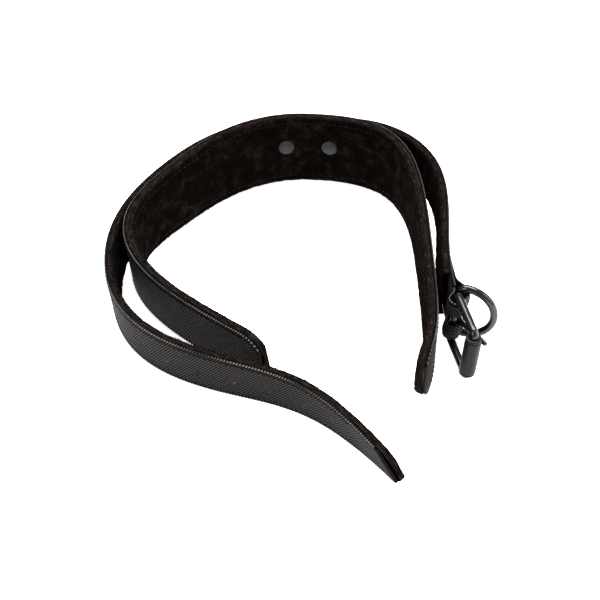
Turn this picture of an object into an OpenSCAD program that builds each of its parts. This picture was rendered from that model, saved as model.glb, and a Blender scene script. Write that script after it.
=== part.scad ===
// Padded neck strap: a wide, contoured, velvet-lined band with a narrower belt riveted to its back.
// One arm of the belt is a long punched tail, the other carries a D-ring and a roller buckle.
// Frame: X right, Y to the back of the neck, Z up. The origin is at the back centre of the band,
// in the middle of the lower edge that the strap rests on.

/* [Band] */
// Width of the band at the back of the neck
band_back_w = 39.4; // [38:0.2:42]
// Width of the band near both ends
band_end_w = 29.4; // [28:0.2:31]
// Length of the band to the left of the back centre
band_left_l = 244.5; // [240:1.5:252]
// Length of the band to the right of the back centre
band_right_l = 216; // [207:1.5:219]
// Thickness of the ribbed outer webbing of the band
band_web_t = 1.4; // [1.2:0.1:1.6]
// Thickness of the foam inside the band
band_pad_t = 2.8; // [2.4:0.1:3]
// Thickness of the velvet lining of the band
band_lining_t = 1.4; // [1:0.1:1.6]

/* [Belt] */
// Width of the belt
belt_w = 25; // [24:0.5:26]
// Thickness of the belt's webbing
belt_web_t = 1.5; // [1.3:0.1:1.6]
// Thickness of the belt's velvet lining
belt_lining_t = 3.3; // [2.8:0.1:3.3]
// Length of the tail, measured from the back centre
tail_l = 361.5; // [354:1.5:363]
// Diameter of the punched holes
punch_d = 2.6; // [2:0.2:3]

/* [Hardware] */
// Wire diameter of the buckle frame and the D-ring
wire_d = 3.8; // [3.6:0.1:4]
// Distance between the two bars of the buckle
buckle_l = 25.2; // [24.4:0.2:26.2]
// Depth of the D-ring beyond its straight bar
dring_depth = 16.8; // [16.4:0.2:18]
// Outer diameter of the roller
roller_d = 7.6; // [7.2:0.1:7.8]
// Diameter of the rivet caps
cap_d = 8; // [7:0.5:9]

/* [Hidden] */
$fn = 48;

// Heading of the strap at the back centre, and the spacing of the stations its bends are given at
back_heading = -7.8;
band_gap = 41;
tail_gap = 42;
arm_gap = 37;
// Bend in degrees per millimetre at each station, counted from the back centre
band_left_bend = [1.21, 0.78, 0.04, 1.44, 0.56, 0.15, -0.09];
band_right_bend = [0.29, 1.48, 0.36, 0.01, 0.06, 0.68];
tail_bend = [0.99, 0.78, 0.23, 0.71, 0.56, 0.88, 0.41, -0.83, -0.19, -0.23];
arm_bend = [-0.15, 1.26, 0.89, 0.33, -0.15, -0.5];
step = 1.5;
// Distance from the band's outer face to the middle of its lower edge
edge_mid = 3;

// The belt lies on the band with a hair of air
belt_t = belt_web_t + belt_lining_t;
band_t = band_web_t + band_pad_t + band_lining_t;
belt_off = belt_t + 0.3;

// Heights of the belt's centre line, and how far it leans out of the vertical;
// the tail's heights and leans are spread over this run, which ends a little past its tip
tail_run = 378;
belt_back_z = 21.8;
belt_tail_z = 14;
belt_tip_z = 13;
belt_arm_z = 18.9;
arm_drop_power = 6.4;
band_left_lean = 8.5;
band_right_lean = 4;
tail_lean = 6.3;
tip_lean = 21.4;
arm_lean = 6.3;
arm_l = 181.5;
arm_droop = atan(arm_drop_power * (belt_back_z - belt_arm_z) / arm_l);

// The tail narrows a little on each side before its rounded tip
taper = 2;
taper_l = 40;
tip_r = 9;
// The tail's webbing stops this far short of its velvet
web_short = 2;

// Where the belt bends between its fixed back and its two free arms
tail_joint_s = 141;
arm_joint_s = 54;

// Rivets and punched holes, as distances along the belt
rivet_s = 12;
post_r = 1.5;
cap_h = 1.6;
punch_first = 211.5;
punch_pitch = 17.5;
punch_count = 7;
punch_z = -1.8;

// Stitch rows
band_stitch_in = 4;
belt_stitch_in = 2.6;
thread_w = 0.7;
thread_h = 0.3;

// Hardware at the end of the arm
wire_r = wire_d / 2;
bore_r = wire_r + 0.06;
fold_t = 1.4;
loop_t = 2.4;
fold_r = bore_r + loop_t;
fold_w = belt_w - 2.6;
bar_u = 6.4;
bar_v = -0.75;
dbar_u = 1.5;
dbar_v = wire_r + 0.15;
ring_half = belt_w / 2 + 0.9;
corner_r = 2.4;
buckle_out = 6.7;
dring_out = 66;
prong_out = 12;
prong_skew = 14;
slot_h = 6;

function smooth(t) = let (c = max(0, min(1, t))) c * c * (3 - 2 * c);
function bend_table(bends, gap) = [for (i = [0 : len(bends) - 1]) [i * gap, bends[i]]];

// A path is a list of [x, y, heading, distance]
function path(heading, bends, gap, turn, length, start) =
    let (table = bend_table(bends, gap), count = round(length / step))
    [for (i = 0, x = start[0], y = start[1], h = heading;
          i <= count;
          m = h + turn * lookup((i + 0.25) * step, table) * step / 2,
          x = x + step * cos(m),
          y = y + step * sin(m),
          h = h + turn * lookup((i + 0.5) * step, table) * step,
          i = i + 1) [x, y, h, i * step]];

// Turns a path into stations [x, y, outward normal, signed distance]
function stations(p, side) = [for (q = p) [q[0], q[1], q[2] + side * 90, side * q[3]]];
function backwards(list) = [for (i = [len(list) - 1 : -1 : 0]) list[i]];
function joined(left, right) = concat(backwards(left), [for (i = [1 : len(right) - 1]) right[i]]);

normal0 = back_heading + 90;
band_start = [edge_mid * cos(normal0), edge_mid * sin(normal0)];
belt_start = [(edge_mid + belt_off) * cos(normal0), (edge_mid + belt_off) * sin(normal0)];
band_left = stations(path(180 + back_heading, band_left_bend, band_gap, 1, band_left_l, band_start), -1);
band_right = stations(path(back_heading, band_right_bend, band_gap, -1, band_right_l, band_start), 1);
belt_left = stations(path(180 + back_heading, tail_bend, tail_gap, 1, tail_l, belt_start), -1);
belt_right = stations(path(back_heading, arm_bend, arm_gap, -1, arm_l, belt_start), 1);
band_line = joined(band_left, band_right);
belt_line = joined(belt_left, belt_right);
arm_end = belt_right[len(belt_right) - 1];

// Every third station is enough along the run, every one is kept near a rounded end
function thinned(line, first, last, fine) =
    [for (i = [0 : len(line) - 1])
        let (s = line[i][3])
        if (s >= first - 0.01 && s <= last + 0.01 &&
            (round(s / step) % 3 == 0 || s < first + fine || s > last - fine || s < first + step || s > last - step)) line[i]];

// Widths, centre heights and leans along the strap
function end_trim(d, r) = d >= r ? 0 : r - sqrt(max(0, r * r - (r - d) * (r - d)));
function band_w(s) = band_back_w - (band_back_w - band_end_w) * smooth((abs(s) - 30) / 150);
function band_room(s) = s < 0 ? band_left_l + s : band_right_l - s;
function band_half(s) = band_w(s) / 2 - end_trim(max(0, band_room(s)), 12);
function band_z(s) = band_w(s) / 2;
function band_tilt(s) = s < 0 ? -band_left_lean * s / band_left_l : band_right_lean * s / band_right_l;
function belt_half(s) =
    let (d = tail_l + s)
    belt_w / 2 - (d < taper_l ? taper * (taper_l - d) / taper_l : 0) - end_trim(max(0, d), tip_r);
function belt_z(s) =
    s < 0 ? belt_back_z - (belt_back_z - belt_tail_z) * smooth((-s / tail_run - 0.15) / 0.35)
            - (belt_tail_z - belt_tip_z) * smooth((-s / tail_run - 0.5) / 0.5)
          : belt_back_z - (belt_back_z - belt_arm_z) * pow(s / arm_l, arm_drop_power);
function belt_tilt(s) =
    s < 0 ? lookup(-s / tail_run, [[0, 0], [0.5, tail_lean], [1, tip_lean]])
          : lookup(s / arm_l, [[0, 0], [0.3, 0], [0.9, arm_lean], [1, arm_lean]]);

// A point at height z above the centre line and offset v outwards from the outer face
function place(q, zc, tilt, v, z) =
    let (r = v * cos(tilt) + z * sin(tilt))
    [q[0] + r * cos(q[2]), q[1] + r * sin(q[2]), zc + z * cos(tilt) - v * sin(tilt)];

// A closed solid through rings that all have the same number of points
module sweep(rings, end_faces = [[0, 1, 2, 3]]) {
    n = len(rings[0]);
    m = len(rings);
    sides = [for (i = [0 : m - 2], j = [0 : n - 1], k = [0, 1])
        let (a = i * n + j, b = i * n + (j + 1) % n)
        k == 0 ? [a, a + n, b] : [b, a + n, b + n]];
    polyhedron(points = [for (r = rings, p = r) p],
               faces = concat(sides, end_faces, [for (f = end_faces) [for (j = backwards(f)) (m - 1) * n + j]]),
               convexity = 6);
}

// Cross-sections as lists of [v, z], for a half width h, and the convex faces that close a trough's end
trough_ends = [[9, 0, 1, 7, 8], [1, 2, 6, 7], [2, 3, 4, 5, 6]];
function slab(v0, v1, h) = [[v0, h], [v0, -h], [v1, -h], [v1, h]];
function trough(v0, v1, t, side_t, h) =
    [[v0, h - side_t], [v1 + t, h - side_t], [v1 + t, -h + side_t], [v0, -h + side_t],
     [v0, -h], [v1 + 1, -h], [v1, -h + 1], [v1, h - 1], [v1 + 1, h], [v0, h]];

module band_strip(v0, v1, inset, end_gap = 0) {
    line = thinned(band_line, -band_left_l + end_gap, band_right_l - end_gap, 12);
    sweep([for (q = line)
        [for (c = slab(v0, v1, band_half(q[3]) - inset)) place(q, band_z(q[3]), band_tilt(q[3]), c[0], c[1])]]);
}

module belt_strip(v0, v1, inset, first, last) {
    line = thinned(belt_line, first, last, first < -300 ? 30 : 0);
    sweep([for (q = line)
        [for (c = slab(v0, v1, belt_half(q[3]) - inset)) place(q, belt_z(q[3]), belt_tilt(q[3]), c[0], c[1])]]);
}

// Puts children on a station: X outwards, Y along the strap, Z along its height
module on_band(s) {
    q = band_line[search_index(band_line, s)];
    translate([q[0], q[1], belt_back_z]) rotate([0, 0, q[2]]) children();
}

function search_index(line, s) = round((s - line[0][3]) / step);

module through_rivets(r) {
    for (s = [-rivet_s, rivet_s])
        on_band(s) rotate([0, 90, 0]) cylinder(r = r, h = 40, center = true);
}

module through_punches() {
    for (i = [0 : punch_count - 1])
        let (q = belt_line[search_index(belt_line, -punch_first - i * punch_pitch)])
        translate([q[0], q[1], belt_z(q[3])])
            rotate([0, belt_tilt(q[3]), q[2]])
                translate([0, 0, punch_z]) rotate([0, 90, 0]) cylinder(d = punch_d, h = 20, center = true);
}

module band_webbing() {
    color([0.13, 0.13, 0.14])
    difference() {
        band_strip(0, -band_web_t, 0.8, 1.5);
        through_rivets(post_r + 0.02);
    }
}

module band_padding() {
    color([0.85, 0.82, 0.72])
    difference() {
        band_strip(-band_web_t, -band_web_t - band_pad_t, 2.6, 4.5);
        through_rivets(post_r + 0.02);
    }
}

module band_lining() {
    line = thinned(band_line, -band_left_l, band_right_l, 12);
    color([0.05, 0.045, 0.045])
    difference() {
        sweep([for (q = line)
            let (h = band_half(q[3]))
            [for (c = trough(-band_web_t, -band_t, band_lining_t, min(2.6, h - 0.6), h))
                place(q, band_z(q[3]), band_tilt(q[3]), c[0], c[1])]], trough_ends);
        through_rivets(post_r + 0.02);
    }
}

// One row of thread on each face of the band, side 1 above and -1 below
module band_stitching(side) {
    line = thinned(band_line, -band_left_l + 14, band_right_l - 14, 0);
    color([0.08, 0.08, 0.085])
    for (v = [0, -band_t - thread_h])
        sweep([for (q = line)
            let (z = side * (band_half(q[3]) - band_stitch_in))
            [for (c = slab(v + thread_h, v, thread_w / 2)) place(q, band_z(q[3]), band_tilt(q[3]), c[0], z + c[1])]]);
}

module belt_webbing(first, last, punched = false, riveted = false) {
    color([0.2, 0.2, 0.21])
    difference() {
        belt_strip(0, -belt_web_t, 0.4, first, last);
        if (punched) through_punches();
        if (riveted) through_rivets(post_r + 0.02);
    }
}

module belt_lining(first, last, punched = false, riveted = false) {
    color([0.07, 0.06, 0.055])
    difference() {
        belt_strip(-belt_web_t, -belt_t, 0, first, last);
        if (punched) through_punches();
        if (riveted) through_rivets(post_r + 0.02);
    }
}

module belt_stitching(first, last) {
    line = thinned(belt_line, first, last, 0);
    color([0.08, 0.08, 0.085])
    for (side = [-1, 1])
        sweep([for (q = line)
            let (z = side * (belt_half(q[3]) - belt_stitch_in))
            [for (c = slab(thread_h, 0, thread_w / 2)) place(q, belt_z(q[3]), belt_tilt(q[3]), c[0], z + c[1])]]);
}

// Rivets: a post through band and belt, with a cap on each face
module on_belt_back(s) {
    q = band_line[search_index(band_line, s)];
    b = belt_line[search_index(belt_line, s)];
    reach = (b[0] - q[0]) * cos(q[2]) + (b[1] - q[1]) * sin(q[2]);
    translate([q[0] + reach * cos(q[2]), q[1] + reach * sin(q[2]), belt_back_z]) rotate([0, 0, q[2]]) children();
}

module rivet_posts() {
    color([0.3, 0.3, 0.31])
    for (s = [-rivet_s, rivet_s])
        on_band(s) translate([-band_t - 0.2, 0, 0]) rotate([0, 90, 0])
            cylinder(r = post_r, h = band_t + belt_off + 0.6);
}

module cap(flip) {
    dome_r = (cap_d * cap_d / 4 + cap_h * cap_h) / (2 * cap_h);
    rotate([0, flip * 90, 0])
    rotate_extrude()
    difference() {
        intersection() {
            translate([0, cap_h - dome_r]) circle(r = dome_r, $fn = 96);
            square([cap_d / 2, cap_h]);
        }
        square([post_r + 0.02, 0.6]);
    }
}

module rivet_inner_caps() {
    color([0.42, 0.42, 0.43])
    for (s = [-rivet_s, rivet_s])
        on_band(s) translate([-band_t - 0.05, 0, 0]) cap(-1);
}

module rivet_outer_caps() {
    color([0.42, 0.42, 0.43])
    for (s = [-rivet_s, rivet_s])
        on_belt_back(s) translate([0.3, 0, 0]) cap(1);
}

// Frame of the arm's end: X runs on along the belt, Y points outwards
module at_arm_end() {
    translate([arm_end[0], arm_end[1], belt_arm_z]) rotate([0, 0, arm_end[2] - 90])
        rotate([-arm_lean, 0, 0]) rotate([0, arm_droop, 0]) children();
}

module at_buckle_bar(turn) {
    at_arm_end() translate([bar_u, bar_v, 0]) rotate([0, 0, turn]) children();
}

module fold_profile() {
    difference() {
        union() {
            translate([bar_u, bar_v]) circle(r = fold_r);
            polygon([[0.05, -belt_web_t], [bar_u - 1, bar_v - fold_r + 0.2],
                     [bar_u + 1, bar_v + fold_r - 0.2], [0.05, fold_t]]);
            translate([-22, 0.05]) square([bar_u + 21, fold_t - 0.05]);
            intersection() {
                translate([dbar_u, dbar_v]) circle(r = fold_r);
                translate([-12, 0.05]) square([20, 10]);
            }
            polygon([[dbar_u - 7, 0.05], [dbar_u + 6, 0.05], [dbar_u + 6, fold_t],
                     [dbar_u + 1.2, dbar_v + fold_r - 0.25], [dbar_u - 1.2, dbar_v + fold_r - 0.25],
                     [dbar_u - 7, fold_t]]);
        }
        translate([bar_u, bar_v]) circle(r = bore_r);
        translate([dbar_u, dbar_v]) circle(r = bore_r);
    }
}

module belt_end_fold() {
    color([0.2, 0.2, 0.21])
    at_arm_end()
    difference() {
        linear_extrude(height = fold_w, center = true) fold_profile();
        translate([bar_u - wire_r - 2.1, -10, -slot_h / 2]) cube([20, 20, slot_h]);
    }
}

module fold_stitching() {
    color([0.08, 0.08, 0.085])
    at_arm_end()
    for (u = [-20, -9])
        translate([u, fold_t, 0]) linear_extrude(height = fold_w - 3, center = true) square([thread_w, thread_h]);
}

// A straight wire from a to b in the plane of X and Z, and a quarter bend between two of them
module wire_z(x, z0, z1) {
    translate([x, 0, z0]) cylinder(r = wire_r, h = z1 - z0);
}

module wire_x(z, x0, x1) {
    translate([x0, 0, z]) rotate([0, 90, 0]) cylinder(r = wire_r, h = x1 - x0);
}

module wire_bend(x, z, r, from, sweep_angle) {
    translate([x, 0, z]) rotate([90, 0, 0])
        rotate([0, 0, from]) rotate_extrude(angle = sweep_angle, $fn = 72) translate([r, 0]) circle(r = wire_r);
}

module buckle_frame() {
    far = buckle_l - corner_r;
    side = ring_half - corner_r;
    color([0.1, 0.1, 0.105])
    at_buckle_bar(buckle_out) {
        wire_z(0, -side, side);
        wire_z(buckle_l, -side, side);
        for (z = [-ring_half, ring_half]) wire_x(z, corner_r, far);
        wire_bend(corner_r, side, corner_r, 90, 90);
        wire_bend(far, side, corner_r, 0, 90);
        wire_bend(corner_r, -side, corner_r, 180, 90);
        wire_bend(far, -side, corner_r, 270, 90);
    }
}

module buckle_roller() {
    color([0.22, 0.22, 0.23])
    at_buckle_bar(buckle_out) translate([buckle_l, 0, 0])
    difference() {
        cylinder(d = roller_d, h = fold_w - 0.4, center = true);
        cylinder(r = bore_r + 0.02, h = fold_w, center = true);
    }
}

module buckle_prong() {
    shank_r = 1.25;
    tip_l = 3;
    eye_l = 2.2;
    color([0.1, 0.1, 0.105])
    at_buckle_bar(buckle_out + prong_out)
    difference() {
        union() {
            cylinder(r = wire_r + 1.5, h = 3.8, center = true);
            rotate([0, -prong_skew, 0]) translate([0, 0.4, 0]) rotate([0, 90, 0]) {
                translate([0, 0, eye_l]) cylinder(r = shank_r, h = buckle_l - eye_l - 0.5);
                translate([0, 0, buckle_l - 0.5]) cylinder(r1 = shank_r, r2 = 0.7, h = tip_l);
            }
        }
        cylinder(r = bore_r, h = 10, center = true);
    }
}

module d_ring() {
    side = ring_half - corner_r;
    arc_x = dring_depth - ring_half;
    color([0.1, 0.1, 0.105])
    at_arm_end() translate([dbar_u, dbar_v, 0]) rotate([0, 0, dring_out]) {
        wire_z(0, -side, side);
        for (z = [-ring_half, ring_half]) wire_x(z, corner_r, arc_x);
        wire_bend(corner_r, side, corner_r, 90, 90);
        wire_bend(corner_r, -side, corner_r, 180, 90);
        wire_bend(arc_x, 0, ring_half, -90, 180);
    }
}

band_webbing();
band_padding();
band_lining();
band_stitching(1);  // band_stitching_upper
band_stitching(-1);  // band_stitching_lower
belt_webbing(-tail_joint_s, arm_joint_s, riveted = true);  // belt_webbing_back
belt_lining(-tail_joint_s, arm_joint_s, riveted = true);  // belt_lining_back
belt_stitching(-tail_joint_s, arm_joint_s);  // belt_stitching_back
belt_webbing(-tail_l + web_short, -tail_joint_s - step, punched = true);  // belt_webbing_tail
belt_lining(-tail_l, -tail_joint_s - step, punched = true);  // belt_lining_tail
belt_stitching(-tail_l + 34, -tail_joint_s - step);  // belt_stitching_tail
belt_webbing(arm_joint_s + step, arm_l);  // belt_webbing_arm
belt_lining(arm_joint_s + step, arm_l - 9);  // belt_lining_arm
belt_stitching(arm_joint_s + step, arm_l - 27);  // belt_stitching_arm
belt_end_fold();
fold_stitching();
rivet_posts();
rivet_inner_caps();
rivet_outer_caps();
d_ring();
buckle_frame();
buckle_roller();
buckle_prong();
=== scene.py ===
"""Padded neck strap: a velvet-lined band with a riveted belt, a punched tail, a D-ring and a roller buckle.

Lengths in the shape functions are millimetres and angles are degrees; meshes are made in metres.
Distances along the strap are counted from the back centre, negative to the left.
"""
import math

import bmesh
import bpy
import numpy as np
from mathutils import Matrix, Vector


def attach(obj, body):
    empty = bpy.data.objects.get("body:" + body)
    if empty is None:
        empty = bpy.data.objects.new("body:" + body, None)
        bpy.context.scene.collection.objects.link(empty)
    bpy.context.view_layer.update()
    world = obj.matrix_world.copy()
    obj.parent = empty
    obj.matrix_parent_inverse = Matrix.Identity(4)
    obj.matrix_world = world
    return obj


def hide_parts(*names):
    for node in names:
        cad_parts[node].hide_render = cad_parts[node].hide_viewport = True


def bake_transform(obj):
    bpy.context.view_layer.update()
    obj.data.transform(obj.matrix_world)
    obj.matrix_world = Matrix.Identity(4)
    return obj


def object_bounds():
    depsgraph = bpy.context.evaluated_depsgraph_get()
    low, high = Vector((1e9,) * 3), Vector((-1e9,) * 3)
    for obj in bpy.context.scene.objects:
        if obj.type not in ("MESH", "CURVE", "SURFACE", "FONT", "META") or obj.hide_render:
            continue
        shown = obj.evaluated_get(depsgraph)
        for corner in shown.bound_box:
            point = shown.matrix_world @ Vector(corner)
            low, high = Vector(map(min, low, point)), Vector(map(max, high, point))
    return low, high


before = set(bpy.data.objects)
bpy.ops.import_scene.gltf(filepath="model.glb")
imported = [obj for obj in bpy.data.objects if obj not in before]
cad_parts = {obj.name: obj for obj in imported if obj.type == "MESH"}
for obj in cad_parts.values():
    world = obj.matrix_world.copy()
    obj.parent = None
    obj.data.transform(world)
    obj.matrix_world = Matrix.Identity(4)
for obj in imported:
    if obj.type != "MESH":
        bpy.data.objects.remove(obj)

cad_box = [list(corner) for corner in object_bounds()]
MM = 0.001

# The strap's run seen from above, as in the CAD source: each list of bends is in degrees per mm, and its
# gap is the distance along the run from one bend to the next
STEP = 1.5
BACK_HEADING = -7.8
NORMAL0 = BACK_HEADING + 90
EDGE_MID = 3.0
BAND_GAP = 41
BAND_LEFT_BEND = [1.21, 0.78, 0.04, 1.44, 0.56, 0.15, -0.09]
BAND_RIGHT_BEND = [0.29, 1.48, 0.36, 0.01, 0.06, 0.68]
TAIL_GAP = 42
TAIL_BENDS = [0.99, 0.78, 0.23, 0.71, 0.56, 0.88, 0.41, -0.83, -0.19, -0.23]
ARM_GAP = 37
ARM_BENDS = [-0.15, 1.26, 0.89, 0.33, -0.15, -0.5]

# Band: lengths left and right of the back centre, width, thickness, corners and lean
BAND_LEFT_L = 244.5
BAND_RIGHT_L = 216
BAND_W = 39.4
BAND_NARROWING = 10.0
BAND_T = 5.6
BAND_WEB_T = 1.4
BAND_END_R = 12
BAND_LEAN_LEFT = 8.5
BAND_LEAN_RIGHT = 4.0

# Belt: a tail to the left, an arm to the right. TAIL_RUN is the run that its droop and lean are spread over
TAIL_L = 361.5
TAIL_RUN = 378
ARM_L = 181.5
BELT_HALF = 12.5
BELT_T = 4.8
BELT_CORE = -BELT_T / 2
BELT_WEB_T = 1.5
BELT_OFF = BELT_T + 0.3
TIP_TAPER = 2
TIP_TAPER_L = 40
TIP_R = 9

# Heights of the belt's middle, how far the tail sinks from there, and its lean
BACK_Z = 21.8
ARM_Z = 18.9
TAIL_DROP = 7.8
TIP_DROP = 1.0
TAIL_LEAN = 6.3
TIP_LEAN = 21.4
ARM_DROP_POWER = 6.4
ARM_LEAN = 6.3

# Rivets and punched holes
RIVET_S = 12
PUNCH_FIRST = 211.5
PUNCH_PITCH = 17.5
PUNCH_COUNT = 7
PUNCHES = [-PUNCH_FIRST - PUNCH_PITCH * i for i in range(PUNCH_COUNT)]
PUNCH_Z = -1.8
WEB_PUNCH_R = 1.25
VELVET_PUNCH_R = 0.45

# Hardware at the end of the arm, as in the CAD source: U runs along the arm, V outwards, OUT is a turn
WIRE_R = 1.9
BORE_R = WIRE_R + 0.06
BAR_U, BAR_V = 6.4, -0.75
DBAR_U, DBAR_V = 1.5, 2.05
RING_HALF = 13.4
BUCKLE_L = 25.2
BUCKLE_OUT = 6.7
PRONG_OUT = 12
PRONG_SKEW = 14
DRING_OUT = 66
CORNER_R = 2.4
DRING_ARC_X = 3.4
ROLLER_R = 3.8
ROLLER_L = 22.0
FOLD_T = 1.4
LOOP_T = 2.4
FOLD_HALF = 11.2

# Twill: the ribs' pitch, their slant for each mm up the width, and the plain rim on a strip's back
RIB_PITCH = 1.52
RIB_LEAN = -0.93
BAND_RIB_LEAN = -0.6
RIM_EDGE = 1.2
RIB_SAMPLES = 6
RIB_H = 0.26

# Thread, and each strip's rows of stitches: (height over the webbing, distance in from the edge, side)
THREAD_T = 0.42
BAND_STITCH_IN = 3.1
BAND_LINING_STITCH = (-5.15, 4.0)
BELT_ROWS = [(0.0, 2.7, 1), (0.0, 2.7, -1)]
BAND_STITCH_PITCH = 3.2
BELT_STITCH_PITCH = 2.6


# ---------------------------------------------------------------- the strap's run

def smooth(t):
    c = np.clip(t, 0.0, 1.0)
    return c * c * (3.0 - 2.0 * c)


def walk(heading, bends, gap, turn, length, start):
    """Stations [x, y, heading, distance] of a path whose bend, in degrees per mm, is given every gap mm."""
    places = np.arange(len(bends)) * gap
    x, y, h = start[0], start[1], heading
    rows = [(x, y, h, 0.0)]
    for i in range(round(length / STEP)):
        m = math.radians(h + turn * np.interp((i + 0.25) * STEP, places, bends) * STEP / 2)
        x += STEP * math.cos(m)
        y += STEP * math.sin(m)
        h += turn * np.interp((i + 0.5) * STEP, places, bends) * STEP
        rows.append((x, y, h, (i + 1) * STEP))
    return np.array(rows)


class Line:
    """The outer face of a strip seen from above, as a smooth curve with its outward normal."""

    def __init__(self, left, right):
        first = np.column_stack([-left[:, 3], left[:, 0], left[:, 1], left[:, 2] - 90])[::-1]
        second = np.column_stack([right[:, 3], right[:, 0], right[:, 1], right[:, 2] + 90])[1:]
        self.s, self.x, self.y, self.normal = np.vstack([first, second]).T

    def at(self, s):
        s = np.clip(s, self.s[0], self.s[-1])
        i = np.clip(((s - self.s[0]) / STEP).astype(int), 0, len(self.s) - 2)
        t = (s - self.s[i]) / STEP
        a = np.radians(self.normal[i] - 90)
        b = np.radians(self.normal[i + 1] - 90)
        w = [2 * t**3 - 3 * t**2 + 1, t**3 - 2 * t**2 + t, 3 * t**2 - 2 * t**3, t**3 - t**2]
        x = w[0] * self.x[i] + w[1] * STEP * np.cos(a) + w[2] * self.x[i + 1] + w[3] * STEP * np.cos(b)
        y = w[0] * self.y[i] + w[1] * STEP * np.sin(a) + w[2] * self.y[i + 1] + w[3] * STEP * np.sin(b)
        return x, y, self.normal[i] * (1 - t) + self.normal[i + 1] * t


def start_at(distance):
    n = math.radians(NORMAL0)
    return distance * math.cos(n), distance * math.sin(n)


BAND_START = start_at(EDGE_MID)
BELT_START = start_at(EDGE_MID + BELT_OFF)
BAND = Line(
    walk(180 + BACK_HEADING, BAND_LEFT_BEND, BAND_GAP, 1, BAND_LEFT_L, BAND_START),
    walk(BACK_HEADING, BAND_RIGHT_BEND, BAND_GAP, -1, BAND_RIGHT_L, BAND_START),
)
BELT = Line(
    walk(180 + BACK_HEADING, TAIL_BENDS, TAIL_GAP, 1, TAIL_L, BELT_START),
    walk(BACK_HEADING, ARM_BENDS, ARM_GAP, -1, ARM_L, BELT_START),
)


def end_trim(d, r):
    """How far a corner of radius r cuts into the half width, d before the strip's end."""
    d = np.clip(d, 0, r)
    return r - np.sqrt(r * r - (r - d) ** 2)


def band_w(s):
    return BAND_W - BAND_NARROWING * smooth((np.abs(s) - 30) / 150)


def band_half(s):
    room = np.where(s < 0, BAND_LEFT_L + s, BAND_RIGHT_L - s)
    return band_w(s) / 2 - end_trim(room, BAND_END_R)


def band_z(s):
    return band_w(s) / 2


def band_tilt(s):
    return np.where(s < 0, -BAND_LEAN_LEFT * s / BAND_LEFT_L, BAND_LEAN_RIGHT * s / BAND_RIGHT_L)


def belt_half(s):
    d = TAIL_L + s
    return BELT_HALF - TIP_TAPER * np.clip((TIP_TAPER_L - d) / TIP_TAPER_L, 0, 1) - end_trim(d, TIP_R)


def belt_z(s):
    part = -s / TAIL_RUN
    left = BACK_Z - TAIL_DROP * smooth((part - 0.15) / 0.35) - TIP_DROP * smooth((part - 0.5) / 0.5)
    right = BACK_Z - (BACK_Z - ARM_Z) * (np.maximum(s, 0) / ARM_L) ** ARM_DROP_POWER
    return np.where(s < 0, left, right)


def belt_tilt(s):
    left = np.interp(-s / TAIL_RUN, [0, 0.5, 1], [0, TAIL_LEAN, TIP_LEAN])
    right = np.interp(s / ARM_L, [0, 0.3, 0.9, 1], [0, 0, ARM_LEAN, ARM_LEAN])
    return np.where(s < 0, left, right)


class Strip:
    """A run with its half width, centre height and lean. put() places points v outwards, z up the width."""

    def __init__(self, line, half, height, lean):
        self.line, self.half, self.height, self.lean = line, half, height, lean

    def put(self, s, v, z):
        x, y, n = self.line.at(s)
        n, lean = np.radians(n), np.radians(self.lean(s))
        r = v * np.cos(lean) + z * np.sin(lean)
        return np.stack([x + r * np.cos(n), y + r * np.sin(n),
                         self.height(s) + z * np.cos(lean) - v * np.sin(lean)], -1)


band = Strip(BAND, band_half, band_z, band_tilt)
belt = Strip(BELT, belt_half, belt_z, belt_tilt)


# ---------------------------------------------------------------- meshes

def noise(x, y, seed):
    """Smooth noise from -1 to 1 on a repeatable lattice, one cell per unit."""
    lattice = np.random.RandomState(seed).uniform(-1, 1, (64, 64))
    i, j = np.floor(x).astype(int), np.floor(y).astype(int)
    fx, fy = smooth(x - i), smooth(y - j)
    i, j = i % 64, j % 64
    i2, j2 = (i + 1) % 64, (j + 1) % 64
    low = lattice[i, j] * (1 - fx) + lattice[i2, j] * fx
    high = lattice[i, j2] * (1 - fx) + lattice[i2, j2] * fx
    return low * (1 - fy) + high * fy


# Points closer than this are one point
MERGE = 0.002


def make_mesh(name, points, faces, material, strap=None):
    """A mesh object from points in mm. strap is a vector per point that the materials read."""
    mesh = bpy.data.meshes.new(name)
    mesh.from_pydata((np.asarray(points) * MM).tolist(), [], [tuple(f) for f in faces])
    if strap is not None:
        layer = mesh.attributes.new("strap", "FLOAT_VECTOR", "POINT")
        layer.data.foreach_set("vector", np.asarray(strap, np.float32).ravel())
    bm = bmesh.new()
    bm.from_mesh(mesh)
    bmesh.ops.remove_doubles(bm, verts=bm.verts, dist=MERGE * MM)
    bmesh.ops.recalc_face_normals(bm, faces=bm.faces)
    bm.to_mesh(mesh)
    bm.free()
    mesh.polygons.foreach_set("use_smooth", [True] * len(mesh.polygons))
    mesh.materials.append(material)
    obj = bpy.data.objects.new(name, mesh)
    bpy.context.scene.collection.objects.link(obj)
    return obj


def shell_faces(rows, columns, mask=None):
    """Faces of a closed shell between a front and a back grid of rows x columns points.
    mask, one flag for each cell, leaves openings, whose walls are closed too."""
    if mask is None:
        mask = np.ones((rows - 1, columns - 1), bool)
    n = rows * columns
    faces = []
    padded = np.pad(mask, 1)
    for i in range(rows - 1):
        for j in range(columns - 1):
            if not mask[i, j]:
                continue
            a = i * columns + j
            b, c, d = a + 1, a + columns + 1, a + columns
            faces += [(a, b, c, d), (n + d, n + c, n + b, n + a)]
            if not padded[i, j + 1]:
                faces.append((b, a, n + a, n + b))
            if not padded[i + 2, j + 1]:
                faces.append((d, c, n + c, n + d))
            if not padded[i + 1, j]:
                faces.append((a, d, n + d, n + a))
            if not padded[i + 1, j + 2]:
                faces.append((c, b, n + b, n + c))
    return faces


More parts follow.
